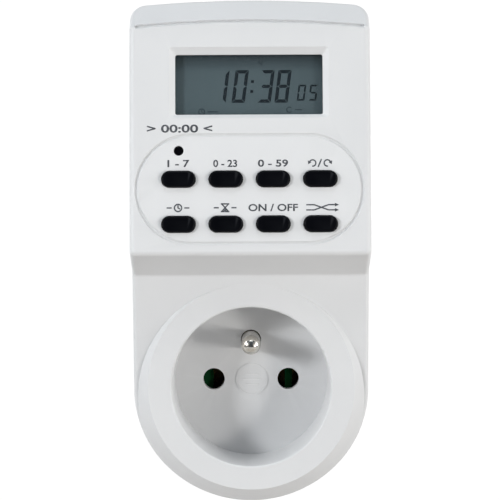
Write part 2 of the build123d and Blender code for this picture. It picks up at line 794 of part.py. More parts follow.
# ============================================================ relay
with BuildPart(front(pwr_front)) as relay_base:
    with Locations((relay_x, relay_z, 0.25)):
        Box(15.2, 18.8, 1.7, align=LOW)
    chamfer(edges().filter_by(Axis.Y), length=0.5)
    with Locations((relay_x - 2.2, relay_z, 1.9)):
        Cylinder(4.2, 0.6, align=LOW)
    with Locations(*[(x, z, 0.3) for x, z in relay_pins]):
        Box(0.9, 0.7, 3.0, align=HIGH)
    # fixed contact post
    with Locations((-19.4, 42.2, 1.9)):
        Box(0.8, 3.0, 10.93, align=LOW)
finish(relay_base.part, "relay_base")

with BuildPart(front(pwr_front)) as relay_cover:
    with Locations((relay_x, relay_z, 1.98)):
        Box(15.4, 19.0, 14.3, align=LOW)
    fillet(edges().filter_by(Axis.Y), radius=0.8)
    fillet(edges().group_by(Axis.Y)[0], radius=0.6)
    with Locations((relay_x, relay_z, 1.9)):
        Box(13.8, 17.4, 13.5, align=LOW, mode=Mode.SUBTRACT)
finish(relay_cover.part, "relay_cover")

coil_x = relay_x - 2.2
with BuildPart(front(pwr_front)) as relay_coil:
    with Locations((coil_x, relay_z, 2.52)):
        Cylinder(4.4, 0.7, align=LOW)
    with Locations((coil_x, relay_z, 3.2)):
        Cylinder(3.9, 7.6, align=LOW)
    with Locations((coil_x, relay_z, 10.8)):
        Cylinder(4.4, 0.7, align=LOW)
    with Locations((coil_x, relay_z, 2.5)):
        Cylinder(1.9, 9.2, align=LOW, mode=Mode.SUBTRACT)
finish(relay_coil.part, "relay_coil")

with BuildPart(front(pwr_front)) as relay_yoke:
    # core
    with Locations((coil_x, relay_z, 2.52)):
        Cylinder(1.85, 9.3, align=LOW)
    with Locations((coil_x, relay_z, 11.55)):
        Cylinder(2.9, 0.5, align=LOW)
    # side plate that carries the hinge of the armature
    with Locations((coil_x + 6.0, relay_z, 1.98)):
        Box(1.0, 9.0, 10.3, align=LOW)
finish(relay_yoke.part, "relay_yoke")

armature_h = pwr_front + 12.45
with BuildPart(front(armature_h)) as relay_armature:
    with Locations((coil_x + 1.1, relay_z, 0)):
        Box(11.0, 8.0, 0.8, align=LOW)
    chamfer(edges().filter_by(Axis.Y), length=0.8)
    # moving contact spring reaching over the fixed post
    with Locations((coil_x - 3.1, relay_z - 5.4, 0.8)):
        Box(2.6, 5.0, 0.25, align=LOW)
    with Locations((coil_x - 1.9, relay_z - 3.4, 0.8)):
        Box(5.0, 3.0, 0.25, align=LOW)
finish(relay_armature.part, "relay_armature")


# ============================================================ plug pins and line parts
for pin_name, px, stud_end in (
    ("live_pin", pin_pitch / 2, 7.4),
    ("neutral_pin", -pin_pitch / 2, 8.9),
):
    with BuildPart() as plug_pin:
        with BuildSketch(Plane.XY):
            with BuildLine():
                tip = pin_length - pin_r
                ThreePointArc(
                    (px, pin_length),
                    (px + pin_r * sin(radians(45)), tip + pin_r * cos(radians(45))),
                    (px + pin_r, tip),
                )
                Polyline(
                    (px + pin_r, tip), (px + pin_r, 0.3), (px + pin_neck_r, 0.3),
                    (px + pin_neck_r, -2.02), (px + 3.5, -2.02),
                    (px + 3.5, -3.2), (px + 1.6, -3.2), (px + 1.6, -stud_end),
                    (px + 0.9, -stud_end), (px + 0.9, -stud_end - 0.9),
                    (px, -stud_end - 0.9), (px, pin_length),
                )
            make_face()
        revolve(axis=Axis((px, 0, 0), (0, 1, 0)))
    finish(plug_pin.part, pin_name)

for contact_name, px, rivet_end in (
    ("live_contact", pin_pitch / 2, 9.7),
    ("neutral_contact", -pin_pitch / 2, 9.9),
):
    with BuildPart(front(0)) as contact:
        with Locations((px, 0, 12.4)):
            Cylinder(3.05, 11.5, align=LOW)
        with Locations((px, 0, 13.2)):
            Cylinder(2.45, 12.0, align=LOW, mode=Mode.SUBTRACT)
        with Locations((px, 0, 22.7)):
            Cone(2.42, 2.95, 1.25, align=LOW, mode=Mode.SUBTRACT)
        with Locations((px, 0, 15.4)):
            Box(0.6, 7.0, 12.0, align=LOW, mode=Mode.SUBTRACT)
            Box(7.0, 0.6, 12.0, align=LOW, mode=Mode.SUBTRACT)
        with Locations((px, 0, rivet_end)):
            Cylinder(1.2, 12.5 - rivet_end, align=LOW)
    finish(contact.part, contact_name)


def upright(x0, x1, h0, z_low, z_run, tab_x):
    """Strip from the plug body forward to the power board, then up to a tab."""
    with Locations(((x0 + x1) / 2, z_run, h0)):
        Box(x1 - x0, 0.8, 21.5 - h0, align=(Align.CENTER, Align.MIN, Align.MIN))
    with Locations(((x0 + x1) / 2, z_low, h0)):
        Box(x1 - x0, z_run + 0.8 - z_low, 0.8, align=(Align.CENTER, Align.MIN, Align.MIN))
    with Locations(((x0 + x1) / 2, z_run, 20.7)):
        Box(x1 - x0, 36.8 - z_run, 0.8, align=(Align.CENTER, Align.MIN, Align.MIN))
    with Locations((tab_x, 36.0, 20.7)):
        Box(2.4, 0.8, 4.9, align=(Align.CENTER, Align.MIN, Align.MIN))


with BuildPart(front(0)) as live_busbar:
    with Locations((9.2, 1.0, 7.42)):
        Box(4.8, 8.0, 0.8, align=LOW)
    upright(6.8, 10.4, 7.42, 4.0, 11.0, 8.6)
    with Locations((pin_pitch / 2, 0, 7.0)):
        Cylinder(0.95, 3.0, align=LOW, mode=Mode.SUBTRACT)
finish(live_busbar.part, "live_busbar")

with BuildPart(front(0)) as neutral_busbar:
    with Locations((-9.2, 1.0, 8.92)):
        Box(4.8, 8.0, 0.8, align=LOW)
    upright(-10.4, -6.8, 8.92, 4.0, 11.0, -8.6)
    with Locations((-pin_pitch / 2, 0, 8.0)):
        Cylinder(0.95, 3.0, align=LOW, mode=Mode.SUBTRACT)
finish(neutral_busbar.part, "neutral_busbar")

with BuildPart(front(0)) as switched_busbar:
    with Locations((9.2, 0.2, 9.85)):
        Box(4.8, 6.0, 0.8, align=LOW)
    with Locations((7.0, 1.85, 9.85)):
        Box(7.2, 2.7, 0.8, align=LOW)
    upright(3.4, 6.2, 9.85, 0.5, 13.1, 4.8)
    with Locations((pin_pitch / 2, 0, 9.0)):
        Cylinder(1.25, 3.0, align=LOW, mode=Mode.SUBTRACT)
finish(switched_busbar.part, "switched_busbar")

with BuildPart(front(0)) as contact_carrier:
    with Locations((0, 0, 10.8)):
        Box(26.8, 10.8, 13.6, align=LOW)
    with Locations(*[(x, z, 2.02) for x in (-12.6, 12.6) for z in (-4.6, 4.6)]):
        Box(1.6, 1.6, 9.0, align=LOW)
    fillet(edges().filter_by(Axis.Y).filter_by(lambda e: abs(e.length - 22.38) < 0.05), radius=0.6)
    with Locations((-pin_pitch / 2, 0, 11.6), (pin_pitch / 2, 0, 11.6)):
        Cylinder(3.5, 14.0, align=LOW, mode=Mode.SUBTRACT)
    with Locations((-pin_pitch / 2, 0, 10.0), (pin_pitch / 2, 0, 10.0)):
        Cylinder(1.35, 3.0, align=LOW, mode=Mode.SUBTRACT)
    # way through for the earthing strap
    with Locations((0, 0, 10.0)):
        Box(6.6, 12.0, 7.5, align=LOW, mode=Mode.SUBTRACT)
finish(contact_carrier.part, "contact_carrier")

# ============================================================ earthing parts
with BuildPart() as earth_pin:
    with BuildSketch(Plane.YZ):
        with BuildLine():
            tip = h_rim - recess_depth + earth_pin_length
            ThreePointArc(
                (-tip, earth_z),
                (-(tip - pin_r + pin_r * cos(radians(45))), earth_z + pin_r * sin(radians(45))),
                (-(tip - pin_r), earth_z + pin_r),
            )
            Polyline(
                (-(tip - pin_r), earth_z + pin_r), (-31.3, earth_z + pin_r),
                (-31.3, earth_z + pin_neck_r), (-28.9, earth_z + pin_neck_r),
                (-28.9, earth_z + 3.3), (-27.9, earth_z + 3.3), (-27.9, earth_z + 1.5),
                (-17.22, earth_z + 1.5), (-17.22, earth_z + 0.9), (-16.2, earth_z + 0.9),
                (-16.2, earth_z), (-tip, earth_z),
            )
        make_face()
    revolve(axis=Axis((0, 0, earth_z), (0, 1, 0)))
finish(earth_pin.part, "earth_pin")

with BuildPart(front(0)) as earth_strap:
    with Locations((0, 0, 16.4)):
        Box(6.0, 31.0, 0.8, align=LOW)
    fillet(edges().filter_by(Axis.Y), radius=0.6)
    with Locations((0, earth_z, 16.0)):
        Cylinder(0.95, 2.0, align=LOW, mode=Mode.SUBTRACT)
finish(earth_strap.part, "earth_strap")

for clip_name, up in (("earth_clip_top", 1), ("earth_clip_bottom", -1)):
    with BuildPart() as earth_clip:
        with BuildSketch(Plane.YZ):
            with BuildLine():
                FilletPolyline(
                    (-16.13, up * 14.6), (-16.13, up * 17.2), (-13.2, up * 17.35),
                    (-8.5, up * 18.4), (-3.4, up * 17.2), (-1.3, up * 16.75),
                    radius=0.7,
                )
                offset(amount=0.25, side=Side.BOTH)
            make_face()
        extrude(amount=3.2, both=True)
    finish(earth_clip.part, clip_name)

with BuildPart(front(0)) as earth_receptacle:
    with Locations((0, earth_z, 2.1)):
        Cylinder(3.05, 14.28, align=LOW)
    with Locations((0, earth_z, 1.0)):
        Cylinder(2.5, 14.5, align=LOW, mode=Mode.SUBTRACT)
    with Locations((0, earth_z, 2.05)):
        Cone(2.95, 2.5, 1.0, align=LOW, mode=Mode.SUBTRACT)
    with Locations((0, earth_z, 1.0)):
        Box(0.6, 7.0, 10.0, align=LOW, mode=Mode.SUBTRACT)
    with Locations((0, earth_z, 15.0)):
        Cylinder(0.95, 3.0, align=LOW, mode=Mode.SUBTRACT)
finish(earth_receptacle.part, "earth_receptacle")

# ============================================================ shutter
def slab(x0, x1, z0, z1, h0, h1, mode=Mode.ADD):
    """Block between two corners, in a part whose plane is front(0)."""
    with Locations(((x0 + x1) / 2, (z0 + z1) / 2, h0)):
        Box(x1 - x0, z1 - z0, h1 - h0, align=LOW, mode=mode)


with BuildPart(front(0)) as shutter:
    slab(-15.3, 17.4, -4.7, 4.7, 26.6, 28.8)
    # windows that come into line with the pin holes when the plate moves left
    slab(-9.7, -2.9, -3.0, 3.0, 26, 30, Mode.SUBTRACT)
    slab(6.6, 8.7, -3.0, 3.0, 26, 30, Mode.SUBTRACT)
    slab(10.6, 16.1, -3.0, 3.0, 26, 30, Mode.SUBTRACT)
    # ramps that turn the push of the pins into the plate's sideways travel
    with BuildSketch(Plane.XY):
        with BuildLine():
            Polyline((-13.4, -28.9), (-9.6, -28.9), (-9.6, -27.1), close=True)
        make_face()
        with BuildLine():
            Polyline((8.75, -28.9), (10.7, -28.9), (10.7, -27.1), close=True)
        make_face()
    extrude(amount=3.0, both=True, mode=Mode.SUBTRACT)
    # spigot that carries the spring
    with BuildSketch(Plane.YZ.offset(-15.3)):
        with Locations((-27.7, 0)):
            Circle(0.62)
    extrude(amount=-1.2)
finish(shutter.part, "shutter")

with BuildPart(front(0)) as shutter_cover:
    slab(-20.4, 18.8, -6.4, 6.4, 24.8, 26.4)
    slab(-24.6, -20.2, -2.2, 2.2, 24.8, 26.4)
    for ex, ez in ((-7.0, -8.2), (7.0, -8.2), (-7.5, 8.2), (7.5, 8.2)):
        slab(ex - 2.1, ex + 2.1, min(ez, 0), max(ez, 0), 24.8, 26.4)
    with Locations((-7.0, -8.6, 24.8), (7.0, -8.6, 24.8), (-7.5, 8.6, 24.8), (7.5, 8.6, 24.8)):
        Cylinder(2.1, 1.6, align=LOW)
    # guide rails, stops and the spring's seat
    slab(-20.4, 18.8, 5.1, 6.4, 26.4, 28.98)
    slab(-20.4, 18.8, -6.4, -5.1, 26.4, 28.98)
    slab(17.7, 18.8, -6.4, 6.4, 26.4, 28.98)
    slab(-20.4, -19.3, 1.7, 6.4, 26.4, 28.98)
    slab(-20.4, -19.3, -6.4, -1.7, 26.4, 28.98)
    slab(-24.6, -23.6, -2.2, 2.2, 26.4, 28.98)
    with Locations((-pin_pitch / 2, 0, 24.0), (pin_pitch / 2, 0, 24.0)):
        Cylinder(2.95, 3.0, align=LOW, mode=Mode.SUBTRACT)
    with Locations((-7.0, -8.6, 24.0), (7.0, -8.6, 24.0), (-7.5, 8.6, 24.0), (7.5, 8.6, 24.0)):
        Cylinder(1.06, 3.0, align=LOW, mode=Mode.SUBTRACT)
finish(shutter_cover.part, "shutter_cover")

with BuildPart() as shutter_spring:
    with BuildLine() as coil_line:
        Helix(pitch=1.25, height=7.7, radius=0.92, center=(-23.3, -27.7, 0), direction=(1, 0, 0))
    with BuildSketch(Plane(origin=coil_line.line @ 0, z_dir=coil_line.line % 0)):
        Circle(0.17)
    sweep(is_frenet=True)
finish(shutter_spring.part, "shutter_spring")

# ============================================================ screws of the housing
with BuildPart(front(0)) as housing_screws:
    with Locations(*[(x, z, 25.9) for x, z in screw_xy]):
        Cylinder(2.45, 2.1, align=LOW)
    fillet(edges().group_by(Axis.Y)[-1], radius=0.7)
    with Locations(*[(x, z, 27.9) for x, z in screw_xy]):
        Cylinder(1.25, 12.4, align=LOW)
    with Locations(*[(x, z, 25.5) for x, z in screw_xy]):
        Box(2.9, 0.55, 1.5, align=LOW, mode=Mode.SUBTRACT)
        Box(0.55, 2.9, 1.5, align=LOW, mode=Mode.SUBTRACT)
finish(housing_screws.part, "housing_screws")
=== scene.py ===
import math

import bmesh
import bpy
from mathutils import Matrix, Vector


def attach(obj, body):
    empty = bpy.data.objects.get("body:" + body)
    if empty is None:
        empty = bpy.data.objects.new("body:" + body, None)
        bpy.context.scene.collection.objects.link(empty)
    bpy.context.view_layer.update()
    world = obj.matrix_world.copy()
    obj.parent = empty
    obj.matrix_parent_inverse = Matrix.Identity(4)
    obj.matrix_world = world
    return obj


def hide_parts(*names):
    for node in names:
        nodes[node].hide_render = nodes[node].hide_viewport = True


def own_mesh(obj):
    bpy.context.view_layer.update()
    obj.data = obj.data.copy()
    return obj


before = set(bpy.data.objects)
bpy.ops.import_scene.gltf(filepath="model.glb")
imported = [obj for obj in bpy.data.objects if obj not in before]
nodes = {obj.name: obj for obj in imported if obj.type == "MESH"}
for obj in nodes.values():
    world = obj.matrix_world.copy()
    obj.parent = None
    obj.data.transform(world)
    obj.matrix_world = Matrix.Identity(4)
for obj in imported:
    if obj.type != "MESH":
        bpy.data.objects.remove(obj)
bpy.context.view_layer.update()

MM = 0.001
scene = bpy.context.scene


# ------------------------------------------------------------------ camera
CAM_X, CAM_Y, CAM_Z = -0.00013, -0.386, 0.0493
PITCH, ROLL = math.radians(2.628), math.radians(0.27)
cam_data = bpy.data.cameras.new("camera")
cam_data.sensor_width = 36.0
cam_data.lens = 100.25
cam_data.clip_start = 0.01
cam_data.clip_end = 20.0
cam = bpy.data.objects.new("camera", cam_data)
scene.collection.objects.link(cam)
cam.matrix_world = (
    Matrix.Translation((CAM_X, CAM_Y, CAM_Z))
    @ Matrix.Rotation(math.pi / 2 - PITCH, 4, "X")
    @ Matrix.Rotation(-ROLL, 4, "Z")
)
scene.camera = cam


# ------------------------------------------------------------------ light
scene.view_settings.view_transform = "Standard"
scene.view_settings.look = "None"
scene.view_settings.exposure = 0.0
scene.view_settings.gamma = 1.0


def soft_box(name, place, target, width, height, watts, colour):
    data = bpy.data.lights.new(name, "AREA")
    data.shape = "RECTANGLE"
    data.size, data.size_y = width, height
    data.energy = watts
    data.color = colour
    lamp = bpy.data.objects.new(name, data)
    lamp.location = place
    lamp.rotation_mode = "QUATERNION"
    lamp.rotation_quaternion = (Vector(target) - Vector(place)).to_track_quat("-Z", "Y")
    lamp.visible_camera = False
    scene.collection.objects.link(lamp)
    return lamp


AIM = (0, -0.045, 0.03)
soft_box("box_left", (-0.935, -0.83, 0.27), AIM, 0.22, 0.22, 7.5, (0.960, 0.980, 1.0))
soft_box("box_right", (0.90, -0.855, -0.08), AIM, 0.22, 0.22, 4.9, (1.0, 0.978, 0.945))
soft_box("side_left", (-1.05, -0.30, 0.45), AIM, 0.35, 0.60, 2.5, (0.98, 0.99, 1.0))
soft_box("side_right", (1.05, -0.30, 0.22), AIM, 0.35, 0.60, 4.0, (0.98, 0.99, 1.0))
soft_box("box_top", (0.0, -0.40, 1.00), AIM, 0.60, 0.60, 3.2, (0.90, 0.96, 1.0))


def studio_world():
    world = bpy.data.worlds.new("studio")
    scene.world = world
    world.use_nodes = True
    tree = world.node_tree
    tree.nodes.clear()
    out = tree.nodes.new("ShaderNodeOutputWorld")
    back = tree.nodes.new("ShaderNodeBackground")
    where = tree.nodes.new("ShaderNodeTexCoord")
    split = tree.nodes.new("ShaderNodeSeparateXYZ")
    behind = tree.nodes.new("ShaderNodeMapRange")
    behind.interpolation_type = "SMOOTHSTEP"
    behind.inputs["From Min"].default_value = 0.25
    behind.inputs["From Max"].default_value = 0.92
    behind.inputs["To Min"].default_value = 0.0
    behind.inputs["To Max"].default_value = 1.0
    height = tree.nodes.new("ShaderNodeMapRange")
    height.interpolation_type = "SMOOTHSTEP"
    height.inputs["From Min"].default_value = -0.55
    height.inputs["From Max"].default_value = 0.55
    around = tree.nodes.new("ShaderNodeMix")
    around.data_type = "RGBA"
    around.inputs["A"].default_value = (0.018, 0.014, 0.010, 1)
    around.inputs["B"].default_value = (0.072, 0.086, 0.104, 1)
    sides = tree.nodes.new("ShaderNodeMath")
    sides.operation = "ABSOLUTE"
    flank = tree.nodes.new("ShaderNodeMapRange")
    flank.interpolation_type = "SMOOTHSTEP"
    flank.inputs["From Min"].default_value = 0.20
    flank.inputs["From Max"].default_value = 0.85
    raised = tree.nodes.new("ShaderNodeMath")
    raised.operation = "SUBTRACT"
    raised.inputs[1].default_value = 0.20
    level = tree.nodes.new("ShaderNodeMath")
    level.operation = "ABSOLUTE"
    band = tree.nodes.new("ShaderNodeMapRange")
    band.interpolation_type = "SMOOTHSTEP"
    band.inputs["From Min"].default_value = 0.15
    band.inputs["From Max"].default_value = 0.65
    band.inputs["To Min"].default_value = 1.0
    band.inputs["To Max"].default_value = 0.0
    both = tree.nodes.new("ShaderNodeMath")
    both.operation = "MULTIPLY"
    lit = tree.nodes.new("ShaderNodeMix")
    lit.data_type = "RGBA"
    lit.inputs["B"].default_value = (0.48, 0.48, 0.475, 1)
    mix = tree.nodes.new("ShaderNodeMix")
    mix.data_type = "RGBA"
    mix.inputs["B"].default_value = (1.04, 1.04, 1.04, 1)
    link = tree.links.new
    link(where.outputs["Generated"], split.inputs[0])
    link(split.outputs["Y"], behind.inputs["Value"])
    link(split.outputs["Z"], height.inputs["Value"])
    link(split.outputs["X"], sides.inputs[0])
    link(sides.outputs[0], flank.inputs["Value"])
    link(height.outputs["Result"], around.inputs["Factor"])
    link(split.outputs["Z"], raised.inputs[0])
    link(raised.outputs[0], level.inputs[0])
    link(level.outputs[0], band.inputs["Value"])
    link(flank.outputs["Result"], both.inputs[0])
    link(band.outputs["Result"], both.inputs[1])
    link(both.outputs[0], lit.inputs["Factor"])
    link(around.outputs["Result"], lit.inputs["A"])
    link(behind.outputs["Result"], mix.inputs["Factor"])
    link(lit.outputs["Result"], mix.inputs["A"])
    link(mix.outputs["Result"], back.inputs["Color"])
    link(back.outputs["Background"], out.inputs["Surface"])


studio_world()


# ------------------------------------------------------------------ materials
class Finish:
    """One node-based material: object-space noises feed its colour, roughness and bump."""

    def __init__(self, name, roughness=0.5, metallic=0.0, specular=0.5):
        self.mat = bpy.data.materials.new(name)
        self.mat.use_nodes = True
        self.tree = self.mat.node_tree
        self.tree.nodes.clear()
        self.out = self.add("ShaderNodeOutputMaterial")
        self.bsdf = self.add("ShaderNodeBsdfPrincipled")
        self.bsdf.inputs["Roughness"].default_value = roughness
        self.bsdf.inputs["Metallic"].default_value = metallic
        self.bsdf.inputs["Specular IOR Level"].default_value = specular
        self.link(self.bsdf.outputs["BSDF"], self.out.inputs["Surface"])
        self.where = self.add("ShaderNodeTexCoord").outputs["Object"]
        self.normal = None

    def add(self, kind, **values):
        node = self.tree.nodes.new(kind)
        for key, value in values.items():
            setattr(node, key, value)
        return node

    def link(self, a, b):
        self.tree.links.new(a, b)

    def noise(self, scale, detail=3.0, rough=0.5, stretch=None, distortion=0.0):
        node = self.add("ShaderNodeTexNoise")
        node.inputs["Scale"].default_value = scale
        node.inputs["Detail"].default_value = detail
        node.inputs["Roughness"].default_value = rough
        node.inputs["Distortion"].default_value = distortion
        if stretch:
            mapping = self.add("ShaderNodeMapping")
            mapping.inputs["Scale"].default_value = stretch
            self.link(self.where, mapping.inputs["Vector"])
            self.link(mapping.outputs["Vector"], node.inputs["Vector"])
        else:
            self.link(self.where, node.inputs["Vector"])
        return node.outputs["Fac"]

    def cells(self, scale, feature="F1"):
        node = self.add("ShaderNodeTexVoronoi", feature=feature)
        node.inputs["Scale"].default_value = scale
        self.link(self.where, node.inputs["Vector"])
        return node.outputs["Distance"]

    def between(self, value, low, high, to_low=0.0, to_high=1.0):
        node = self.add("ShaderNodeMapRange")
        node.inputs["From Min"].default_value = low
        node.inputs["From Max"].default_value = high
        node.inputs["To Min"].default_value = to_low
        node.inputs["To Max"].default_value = to_high
        self.link(value, node.inputs["Value"])
        return node.outputs["Result"]

    def blend(self, factor, a, b):
        node = self.add("ShaderNodeMix", data_type="RGBA")
        self.link(factor, node.inputs["Factor"])
        for socket, value in (("A", a), ("B", b)):
            if isinstance(value, tuple):
                node.inputs[socket].default_value = (*value, 1)
            else:
                self.link(value, node.inputs[socket])
        return node.outputs["Result"]

    def colour(self, value):
        self.link(value, self.bsdf.inputs["Base Color"])

    def roughness(self, value):
        self.link(value, self.bsdf.inputs["Roughness"])

    def bump(self, value, strength, depth):
        node = self.add("ShaderNodeBump")
        node.inputs["Strength"].default_value = strength
        node.inputs["Distance"].default_value = depth
        self.link(value, node.inputs["Height"])
        if self.normal is not None:
            self.link(self.normal, node.inputs["Normal"])
        self.normal = node.outputs["Normal"]
        self.link(self.normal, self.bsdf.inputs["Normal"])

    def edges(self, low=0.50, high=0.56):
        """Painted highlight mask: 1 on every convex edge, 0 in a crease."""
        return self.between(self.add("ShaderNodeNewGeometry").outputs["Pointiness"], low, high)


def moulded(name, light, dark, roughness, grain=2600.0, depth=0.000012, specular=0.45, mottling=28.0,
            speck=None, edge=None):
    """Injection moulded plastic: a slow drift of tone, a spark-eroded grain, fine specks, and with an edge colour a
    painted highlight on every convex edge.
    """
    f = Finish(name, roughness, specular=specular)
    tone = f.blend(f.between(f.noise(mottling, 4.0, 0.55), 0.36, 0.64), dark, light)
    if speck:
        tone = f.blend(f.between(f.noise(5200.0, 2.0, 0.6), 0.66, 0.80), tone, speck)
    # painted highlight: every convex edge is lightened towards the edge colour
    if edge:
        tone = f.blend(f.edges(0.505, 0.60), tone, edge)
    f.colour(tone)
    f.roughness(f.between(f.noise(420.0, 5.0, 0.6), 0.3, 0.7, roughness - 0.05, roughness + 0.06))
    f.bump(f.noise(grain, 4.0, 0.62), 0.55, depth)
    f.bump(f.noise(130.0, 2.0, 0.5), 0.18, depth * 1.6)
    return f.mat


def metal(name, light, dark, roughness, stretch=(1, 1, 1), scale=900.0, tarnish=None, depth=0.000008,
          spread=0.08):
    f = Finish(name, roughness, metallic=1.0)
    streaks = f.noise(scale, 5.0, 0.65, stretch=stretch)
    tone = f.blend(f.between(streaks, 0.34, 0.66), dark, light)
    if tarnish:
        tone = f.blend(f.between(f.noise(160.0, 5.0, 0.62), 0.55, 0.80), tone, tarnish)
    f.colour(tone)
    f.roughness(f.between(f.noise(scale * 0.7, 4.0, 0.6, stretch=stretch), 0.3, 0.7, roughness - spread * 0.5, roughness + spread))
    f.bump(streaks, 0.35, depth)
    return f.mat


def laminate(name, light, dark, weave):
    """Circuit board: glass weave or paper fibre under its mask, with runs of copper track showing."""
    f = Finish(name, 0.36, specular=0.5)
    fibres = f.noise(weave, 3.0, 0.6, stretch=(1, 1, 5))
    tone = f.blend(f.between(fibres, 0.3, 0.7), dark, light)
    tracks = f.add("ShaderNodeTexBrick", offset=0.37, offset_frequency=3, squash=2.1, squash_frequency=2)
    tracks.inputs["Scale"].default_value = 120.0
    tracks.inputs["Mortar Size"].default_value = 0.032
    tracks.inputs["Mortar Smooth"].default_value = 0.15
    tracks.inputs["Brick Width"].default_value = 1.1
    tracks.inputs["Row Height"].default_value = 0.21
    tracks.inputs["Color1"].default_value = (0, 0, 0, 1)
    tracks.inputs["Color2"].default_value = (0, 0, 0, 1)
    tracks.inputs["Mortar"].default_value = (1, 1, 1, 1)
    turn = f.add("ShaderNodeMapping")
    turn.inputs["Rotation"].default_value = (math.pi / 2, 0, 0)
    f.link(f.where, turn.inputs["Vector"])
    f.link(turn.outputs["Vector"], tracks.inputs["Vector"])
    runs = f.blend(f.between(f.noise(190.0, 1.0, 0.5), 0.51, 0.54), (0.0, 0.0, 0.0), tracks.outputs["Color"])
    f.colour(f.blend(runs, tone, tuple(min(1.0, c * 1.25 + 0.01) for c in light)))
    f.roughness(f.between(f.noise(700.0), 0.3, 0.7, 0.30, 0.46))
    f.bump(fibres, 0.4, 0.00001)
    return f.mat


def build_finishes():
    made = {}
    # edge colour: painted highlight on the housing's convex rims
    made["housing_white"] = moulded(
        "housing_white", (0.735, 0.738, 0.742), (0.712, 0.716, 0.722), 0.46,
        speck=(0.65, 0.655, 0.66), edge=(0.765, 0.768, 0.772), specular=0.34)
    # edge colour: painted highlight along the keys' rounded rims
    made["key_black"] = moulded(
        "key_black", (0.0024, 0.0027, 0.0042), (0.0014, 0.0016, 0.0026), 0.34,
        grain=3400.0, depth=0.000008, edge=(0.016, 0.017, 0.020), specular=0.055)
    made["black_abs"] = moulded("black_abs", (0.035, 0.035, 0.04), (0.022, 0.022, 0.026), 0.42)
    made["black_rubber"] = moulded("black_rubber", (0.045, 0.045, 0.047), (0.028, 0.028, 0.03), 0.68, grain=1900.0)
    made["grey_rubber"] = moulded("grey_rubber", (0.42, 0.43, 0.44), (0.35, 0.36, 0.37), 0.62, grain=1700.0)
    made["carrier_grey"] = moulded("carrier_grey", (0.060, 0.062, 0.064), (0.040, 0.042, 0.044), 0.58, grain=1500.0,
                                   depth=0.00002, speck=(0.09, 0.092, 0.094))
    # edge colour: painted highlight along the shutter's rims
    made["shutter_green"] = moulded("shutter_green", (0.0030, 0.045, 0.0125), (0.0020, 0.034, 0.0090), 0.72,
                                    grain=1800.0, specular=0.04, edge=(0.010, 0.12, 0.045))
    made["relay_blue"] = moulded("relay_blue", (0.05, 0.12, 0.38), (0.035, 0.09, 0.30), 0.28, grain=1400.0)
    made["epoxy_black"] = moulded("epoxy_black", (0.022, 0.021, 0.021), (0.013, 0.013, 0.013), 0.30, grain=600.0,
                                  depth=0.00004)
    made["film_yellow"] = moulded("film_yellow", (0.74, 0.55, 0.07), (0.62, 0.45, 0.05), 0.40, grain=1200.0)
    made["disc_blue"] = moulded("disc_blue", (0.05, 0.17, 0.46), (0.03, 0.12, 0.36), 0.26, grain=500.0, depth=0.00004)
    made["resistor_blue"] = moulded("resistor_blue", (0.16, 0.34, 0.46), (0.10, 0.24, 0.36), 0.34, grain=900.0)
    made["ribbon_grey"] = moulded("ribbon_grey", (0.50, 0.51, 0.53), (0.40, 0.41, 0.43), 0.50, grain=1100.0)
    made["pcb_green"] = laminate("pcb_green", (0.035, 0.20, 0.075), (0.02, 0.13, 0.045), 1400.0)
    made["pcb_brown"] = laminate("pcb_brown", (0.40, 0.25, 0.10), (0.30, 0.18, 0.07), 900.0)

    made["nickel_pin"] = metal("nickel_pin", (0.80, 0.77, 0.71), (0.66, 0.63, 0.57), 0.17,
                               stretch=(6, 0.6, 6), scale=700.0, tarnish=(0.60, 0.55, 0.47), spread=0.06)
    made["contact_brass"] = metal("contact_brass", (0.42, 0.29, 0.12), (0.29, 0.19, 0.075), 0.36,
                                  stretch=(3, 0.8, 3), tarnish=(0.40, 0.27, 0.13))
    made["tin_steel"] = metal("tin_steel", (0.72, 0.72, 0.71), (0.58, 0.58, 0.58), 0.34, stretch=(1, 4, 1))
    made["nickel_can"] = metal("nickel_can", (0.70, 0.69, 0.66), (0.56, 0.55, 0.53), 0.26, stretch=(1, 5, 1))
    made["zinc_steel"] = metal("zinc_steel", (0.64, 0.65, 0.67), (0.47, 0.49, 0.53), 0.32, scale=500.0,
                               tarnish=(0.52, 0.50, 0.40))
    made["soft_iron"] = metal("soft_iron", (0.50, 0.50, 0.51), (0.38, 0.38, 0.39), 0.40, stretch=(4, 1, 1))
    made["spring_steel"] = metal("spring_steel", (0.55, 0.56, 0.58), (0.42, 0.43, 0.45), 0.25, scale=1500.0)
    made["copper_coil"] = metal("copper_coil", (0.66, 0.30, 0.14), (0.42, 0.17, 0.08), 0.32,
                                stretch=(0.4, 9, 0.4), scale=800.0, depth=0.00006)
    made["can_aluminium"] = metal("can_aluminium", (0.10, 0.12, 0.22), (0.06, 0.07, 0.15), 0.38, stretch=(1, 1, 3))
    made["reflector"] = metal("reflector", (0.62, 0.64, 0.63), (0.52, 0.54, 0.53), 0.40, scale=2200.0)

    # liquid crystal glass: grey-green polarising film over a silvered back
    f = Finish("lcd_grey", 0.42, specular=0.12)
    film = f.blend(f.between(f.noise(55.0, 3.0, 0.5), 0.32, 0.68), (0.080, 0.113, 0.125), (0.092, 0.128, 0.141))
    film = f.blend(f.between(f.noise(7000.0, 2.0, 0.6), 0.42, 0.62), film, (0.072, 0.103, 0.115))
    # painted shade: the film darkens towards its top, standing in for the shadow of the window's bezel
    split = f.add("ShaderNodeSeparateXYZ")
    f.link(f.where, split.inputs[0])
    painted_bezel_shade = f.between(split.outputs["Z"], 0.0768, 0.0806)
    f.colour(f.blend(painted_bezel_shade, film, (0.036, 0.052, 0.062)))
    f.roughness(f.between(f.noise(900.0, 3.0, 0.5), 0.3, 0.7, 0.38, 0.48))
    f.bump(f.noise(6000.0, 2.0, 0.5), 0.25, 0.000004)
    made["lcd_grey"] = f.mat

